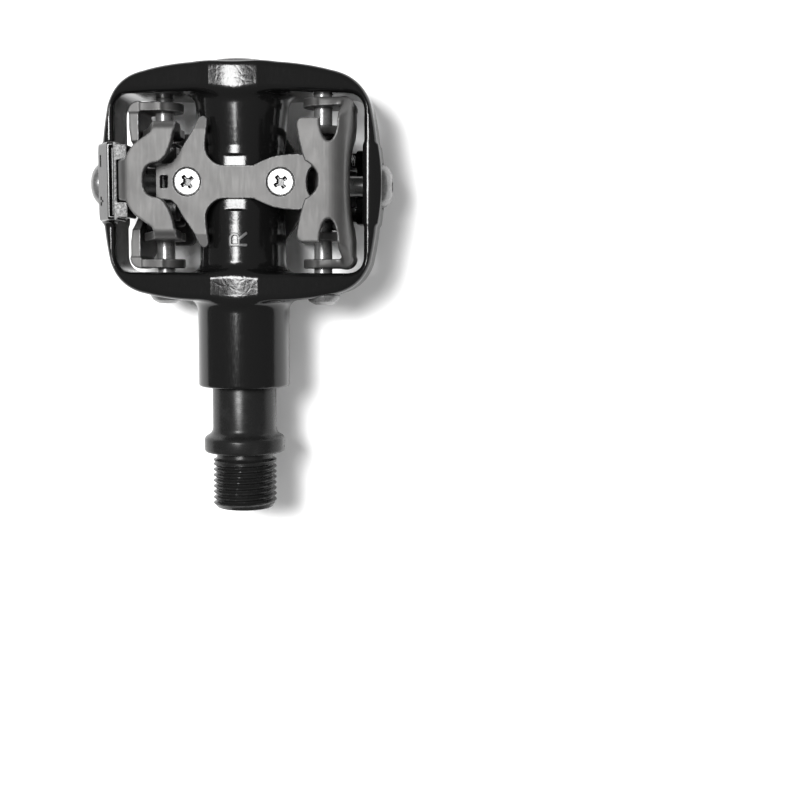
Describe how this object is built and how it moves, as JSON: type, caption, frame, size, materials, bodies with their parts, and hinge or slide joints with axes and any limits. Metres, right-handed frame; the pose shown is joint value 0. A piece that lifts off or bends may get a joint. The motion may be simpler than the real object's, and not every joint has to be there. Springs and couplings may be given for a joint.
{
  "type": "clipless pedal",
  "caption": "Double-sided bicycle pedal with a sprung cleat claw on each face, on a threaded spindle with a bush and cartridge bearings",
  "frame": {"origin": "centre of the bounding box at rest, on the spindle's axis", "axes": "+Y runs along the spindle from its threaded end to the end cap, +X from the fixed front claw of the upper face to its sprung rear claw, +Z out of the upper face"},
  "size_m": [0.0664, 0.0992, 0.032],
  "materials": {
    "frame_paint": "gloss black paint over a slightly rough aluminium casting",
    "spindle_paint": "gloss black coating on turned steel",
    "plate_steel": "satin mid-grey plated sheet steel",
    "bright_steel": "bright zinc plate",
    "spring_steel": "dark oiled steel",
    "bearing_steel": "ground bearing steel",
    "bush_metal": "sintered bronze",
    "seal_rubber": "matt black nitrile rubber",
    "cap_plastic": "gloss black moulded plastic"
  },
  "bodies": {
    "spindle": {"spindle": "spindle_paint", "middle_bearing_inner_race": "bearing_steel", "outboard_bearing_inner_race": "bearing_steel", "bearing_spacer": "bearing_steel", "lock_washer": "spring_steel", "lock_nut": "spring_steel"},
    "middle_balls": {"middle_bearing_ball_cage": "bearing_steel"},
    "outboard_balls": {"outboard_bearing_ball_cage": "bearing_steel"},
    "pedal_body": {"body_frame": "frame_paint", "end_cap": "cap_plastic", "middle_bearing_outer_race": "bearing_steel", "outboard_bearing_outer_race": "bearing_steel", "retaining_ring": "spring_steel", "inboard_bush": "bush_metal", "dust_seal": "seal_rubber", "platform_plate_upper": "plate_steel", "platform_plate_lower": "plate_steel", "plate_screw_front_upper": "bright_steel", "plate_screw_front_lower": "bright_steel", "plate_screw_rear_upper": "bright_steel", "plate_screw_rear_lower": "bright_steel", "front_claw_upper": "plate_steel", "front_claw_lower": "plate_steel", "pivot_pin_upper": "bright_steel", "pivot_pin_lower": "bright_steel", "torsion_spring_inboard_upper": "spring_steel", "torsion_spring_inboard_lower": "spring_steel", "torsion_spring_outboard_upper": "spring_steel", "torsion_spring_outboard_lower": "spring_steel"},
    "release_claw_upper": {"rear_claw_upper": "plate_steel"},
    "tension_screw_body_upper": {"tension_screw_upper": "bright_steel"},
    "tension_nut_body_upper": {"tension_nut_upper": "spring_steel"},
    "release_claw_lower": {"rear_claw_lower": "plate_steel"},
    "tension_screw_body_lower": {"tension_screw_lower": "bright_steel"},
    "tension_nut_body_lower": {"tension_nut_lower": "spring_steel"}
  },
  "joints": [
    {"name": "pedal_spin", "type": "hinge", "parent": "spindle", "child": "pedal_body", "pos_m": [0, 0, 0], "axis": [0, 1, 0], "continuous": true},
    {"name": "middle_balls_orbit", "type": "hinge", "parent": "spindle", "child": "middle_balls", "pos_m": [0, 0.01725, 0], "axis": [0, 1, 0], "continuous": true},
    {"name": "outboard_balls_orbit", "type": "hinge", "parent": "spindle", "child": "outboard_balls", "pos_m": [0, 0.0325, 0], "axis": [0, 1, 0], "continuous": true},
    {"name": "rear_claw_release_upper", "type": "hinge", "parent": "pedal_body", "child": "release_claw_upper", "pos_m": [0.0184, 0.0227, 0.0033], "axis": [0, 1, 0], "range_deg": [0, 12], "stiffness_Nm_per_rad": 3, "deforming": ["torsion_spring_inboard_upper", "torsion_spring_outboard_upper"]},
    {"name": "tension_screw_turn_upper", "type": "hinge", "parent": "pedal_body", "child": "tension_screw_body_upper", "pos_m": [0.029, 0.0227, -0.0019], "axis": [-1, 0, 0], "range_deg": [0, 1080]},
    {"name": "tension_nut_travel_upper", "type": "slide", "parent": "pedal_body", "child": "tension_nut_body_upper", "axis": [1, 0, 0], "range_m": [0, 0.0024]},
    {"name": "rear_claw_release_lower", "type": "hinge", "parent": "pedal_body", "child": "release_claw_lower", "pos_m": [-0.0184, 0.0227, -0.0033], "axis": [0, 1, 0], "range_deg": [0, 12], "stiffness_Nm_per_rad": 3, "deforming": ["torsion_spring_inboard_lower", "torsion_spring_outboard_lower"]},
    {"name": "tension_screw_turn_lower", "type": "hinge", "parent": "pedal_body", "child": "tension_screw_body_lower", "pos_m": [-0.029, 0.0227, 0.0019], "axis": [1, 0, 0], "range_deg": [0, 1080]},
    {"name": "tension_nut_travel_lower", "type": "slide", "parent": "pedal_body", "child": "tension_nut_body_lower", "axis": [-1, 0, 0], "range_m": [0, 0.0024]}
  ],
  "couplings": [
    {"joint": "middle_balls_orbit", "follows": "pedal_spin", "ratio": 0.58333},
    {"joint": "outboard_balls_orbit", "follows": "pedal_spin", "ratio": 0.58333},
    {"joint": "tension_screw_turn_upper", "follows": "tension_nut_travel_upper", "rad_per_m": 7854},
    {"joint": "tension_screw_turn_lower", "follows": "tension_nut_travel_lower", "rad_per_m": 7854}
  ]
}
